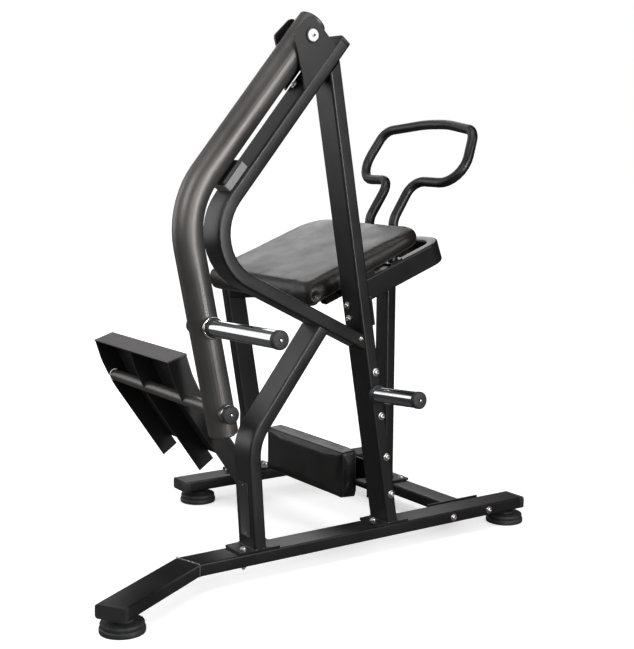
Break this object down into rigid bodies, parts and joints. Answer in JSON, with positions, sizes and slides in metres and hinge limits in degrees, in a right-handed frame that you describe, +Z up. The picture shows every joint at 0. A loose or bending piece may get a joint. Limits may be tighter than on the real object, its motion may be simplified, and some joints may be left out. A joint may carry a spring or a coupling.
{
  "type": "standing rear kick machine",
  "caption": "plate-loaded standing rear-kick leg machine with a swinging bent lever, ribbed kick plate, inclined torso pad, shin pad and looped handlebar on a tube frame",
  "frame": {"origin": "on the floor, at the middle of the underside of the rear near levelling foot", "axes": "+X points from the kick plate towards the handlebar, +Y from the lever's side to the far rail, +Z up"},
  "size_m": [1.6916, 1.2784, 1.6848],
  "materials": {
    "black_powder_coat": "satin powder coat",
    "gunmetal_paint": "satin metallic paint",
    "chrome": "polished",
    "zinc_steel": "zinc plated",
    "black_rubber": "matt",
    "black_plastic": "fine texture",
    "black_vinyl": "satin upholstery vinyl",
    "pad_board": "black painted plywood",
    "pale_washer": "satin",
    "grey_grip": "textured non-slip coating"
  },
  "bodies": {
    "frame": {"near_rail": "black_powder_coat", "far_rail": "black_powder_coat", "cross_beam": "black_powder_coat", "near_rail_front_cap": "black_plastic", "near_rail_rear_cap": "black_plastic", "far_rail_front_cap": "black_plastic", "far_rail_rear_cap": "black_plastic", "near_upright": "black_powder_coat", "bow_tube": "black_powder_coat", "near_leg": "black_powder_coat", "bow_top_cap": "black_powder_coat", "pivot_ear_near": "black_powder_coat", "pivot_ear_far": "black_powder_coat", "pivot_shaft": "zinc_steel", "pivot_washer_near": "pale_washer", "pivot_washer_far": "pale_washer", "lever_stop_block": "grey_grip", "lever_stop_bumper": "black_rubber", "storage_horn_flange": "black_plastic", "storage_horn": "chrome", "storage_horn_cap": "black_rubber", "pad_frame": "black_powder_coat", "seat_post": "black_powder_coat", "far_leg": "black_powder_coat", "near_link": "black_powder_coat", "far_link": "black_powder_coat", "torso_pad": "black_vinyl", "torso_pad_board": "pad_board", "handlebar": "black_powder_coat", "shin_pad": "black_vinyl", "shin_pad_board": "pad_board", "shin_pad_bracket": "black_powder_coat", "cross_beam_bolt_front": "zinc_steel", "cross_beam_bolt_rear": "zinc_steel", "upright_base_bolt": "zinc_steel", "link_bolt_upper": "zinc_steel", "link_bolt_lower": "zinc_steel"},
    "lever": {"lever_tube": "gunmetal_paint", "lever_top_cap": "black_powder_coat", "lever_bottom_cap": "gunmetal_paint", "pivot_hub": "gunmetal_paint", "pivot_bearing_near": "zinc_steel", "pivot_bearing_far": "zinc_steel", "pedal_sleeve": "gunmetal_paint", "pedal_bush": "black_plastic", "main_horn_flange": "chrome", "main_horn_collar": "black_rubber", "main_horn": "chrome", "main_horn_cap": "black_rubber", "main_horn_back_cap": "black_rubber"},
    "kick_plate": {"pedal_rib_near": "black_powder_coat", "pedal_rib_middle": "black_powder_coat", "pedal_rib_far": "black_powder_coat", "pedal_tread": "grey_grip", "pedal_bar": "gunmetal_paint", "pedal_bar_cap": "black_rubber"},
    "foot_front_near": {"levelling_foot_front_near": "black_rubber"},
    "foot_rear_near": {"levelling_foot_rear_near": "black_rubber"},
    "foot_front_far": {"levelling_foot_front_far": "black_rubber"},
    "foot_rear_far": {"levelling_foot_rear_far": "black_rubber"}
  },
  "joints": [
    {"name": "lever_swing", "type": "hinge", "parent": "frame", "child": "lever", "pos_m": [-0.862, 0, 1.613], "axis": [0, 1, 0], "range_deg": [0, 60]},
    {"name": "kick_plate_tilt", "type": "hinge", "parent": "lever", "child": "kick_plate", "pos_m": [-1.1475, 0, 0.525], "axis": [0, 1, 0], "range_deg": [-15, 15]},
    {"name": "foot_rear_near_height", "type": "slide", "parent": "frame", "child": "foot_rear_near", "axis": [0, 0, 1], "range_m": [-0.015, 0]},
    {"name": "foot_rear_far_height", "type": "slide", "parent": "frame", "child": "foot_rear_far", "axis": [0, 0, 1], "range_m": [-0.015, 0]},
    {"name": "foot_front_near_height", "type": "slide", "parent": "frame", "child": "foot_front_near", "axis": [0, 0, 1], "range_m": [-0.015, 0]},
    {"name": "foot_front_far_height", "type": "slide", "parent": "frame", "child": "foot_front_far", "axis": [0, 0, 1], "range_m": [-0.015, 0]}
  ]
}
